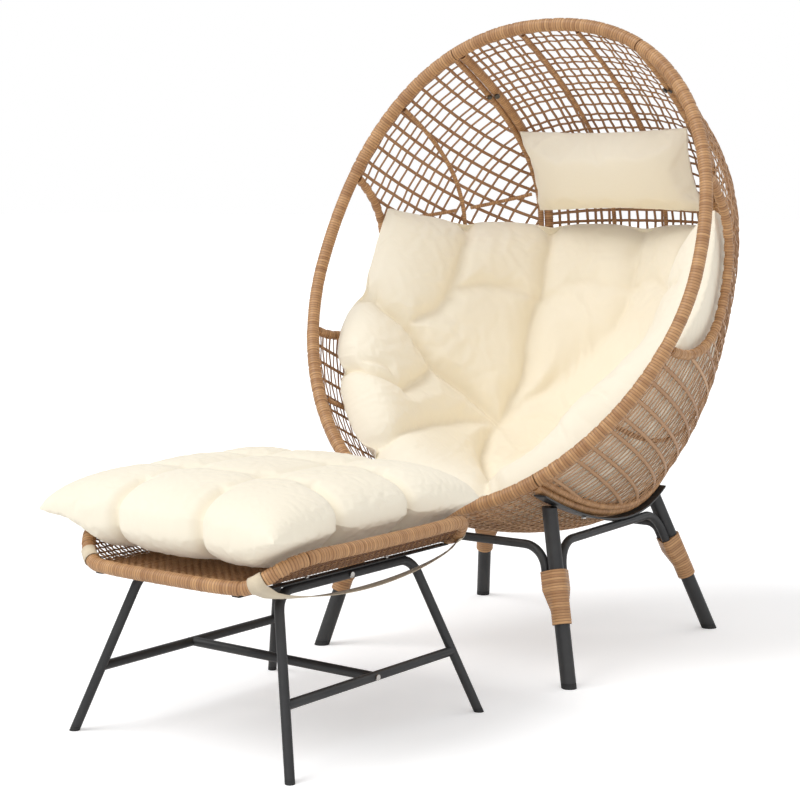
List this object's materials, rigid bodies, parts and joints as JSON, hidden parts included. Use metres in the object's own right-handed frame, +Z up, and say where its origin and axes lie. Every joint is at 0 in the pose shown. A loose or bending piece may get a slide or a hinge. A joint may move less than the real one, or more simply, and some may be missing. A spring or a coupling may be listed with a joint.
{
  "type": "egg chair with footstool",
  "caption": "Standing woven egg chair on splayed steel legs, with a tufted seat cushion, a head pillow and a matching cushioned footstool.",
  "frame": {"origin": "on the floor, below the middle of the whole set's bounding box", "axes": "+Z up; the chair faces -Y, with the footstool in front of it; +X is the sitter's left"},
  "size_m": [1.0294, 1.8086, 1.4459],
  "materials": {
    "wound_resin": "resin strand wound round steel tube, golden tan",
    "woven_resin": "open basket weave of flat resin strands, brown",
    "stool_weave": "close weave of round resin strands, dark brown",
    "black_tube": "satin black powder coat",
    "dark_bolts": "black painted screws and clips",
    "bright_bolts": "zinc plated screws and bolts",
    "foot_plastic": "moulded black foot caps",
    "cream_cloth": "cream woven polyester cloth"
  },
  "bodies": {
    "chair": {"rim_top": "wound_resin", "rim_left": "wound_resin", "rim_right": "wound_resin", "rim_front": "wound_resin", "center_panel": "woven_resin", "left_panel": "woven_resin", "right_panel": "woven_resin", "center_tube_left": "wound_resin", "center_tube_right": "wound_resin", "side_tube_left": "wound_resin", "side_tube_right": "wound_resin", "center_rib_left": "wound_resin", "center_rib_right": "wound_resin", "side_rib_left": "wound_resin", "side_rib_right": "wound_resin", "window_tube_left": "wound_resin", "window_tube_right": "wound_resin", "center_band": "woven_resin", "left_band": "woven_resin", "right_band": "woven_resin", "seam_bolts": "dark_bolts", "plate_left": "black_tube", "plate_right": "black_tube", "plate_screws": "bright_bolts", "front_leg_left": "black_tube", "front_leg_right": "black_tube", "back_leg_left": "black_tube", "back_leg_right": "black_tube", "front_sleeve_left": "wound_resin", "front_sleeve_right": "wound_resin", "back_sleeve_left": "wound_resin", "back_sleeve_right": "wound_resin", "front_brace": "black_tube", "back_brace": "black_tube", "left_brace": "black_tube", "right_brace": "black_tube", "foot_caps": "foot_plastic"},
    "seat_pad": {"seat_cushion": "cream_cloth"},
    "pillow": {"head_pillow": "cream_cloth"},
    "stool": {"stool_front_rail": "wound_resin", "stool_back_rail": "wound_resin", "stool_left_rail": "wound_resin", "stool_right_rail": "wound_resin", "stool_net": "stool_weave", "stool_strip_left": "black_tube", "stool_strip_right": "black_tube", "stool_strip_screws": "bright_bolts", "stool_leg_frame_left": "black_tube", "stool_leg_frame_right": "black_tube", "stool_low_bar_left": "black_tube", "stool_low_bar_right": "black_tube", "stool_stretcher": "black_tube", "stool_bolts": "bright_bolts", "stool_foot_caps": "foot_plastic", "stool_strap_left": "cream_cloth", "stool_strap_right": "cream_cloth"},
    "stool_pad": {"stool_cushion": "cream_cloth"}
  },
  "joints": [
    {"name": "seat_cushion_slide", "type": "slide", "parent": "chair", "child": "seat_pad", "axis": [0, -0.9063, 0.4226], "range_m": [0, 0.25]},
    {"name": "head_pillow_slide", "type": "slide", "parent": "seat_pad", "child": "pillow", "axis": [0, -0.9063, 0.4226], "range_m": [0, 0.2]},
    {"name": "stool_slide", "type": "slide", "parent": "chair", "child": "stool", "axis": [0, -1, 0], "range_m": [0, 0.5]},
    {"name": "stool_cushion_slide", "type": "slide", "parent": "stool", "child": "stool_pad", "axis": [0, 0, 1], "range_m": [0, 0.25]}
  ]
}
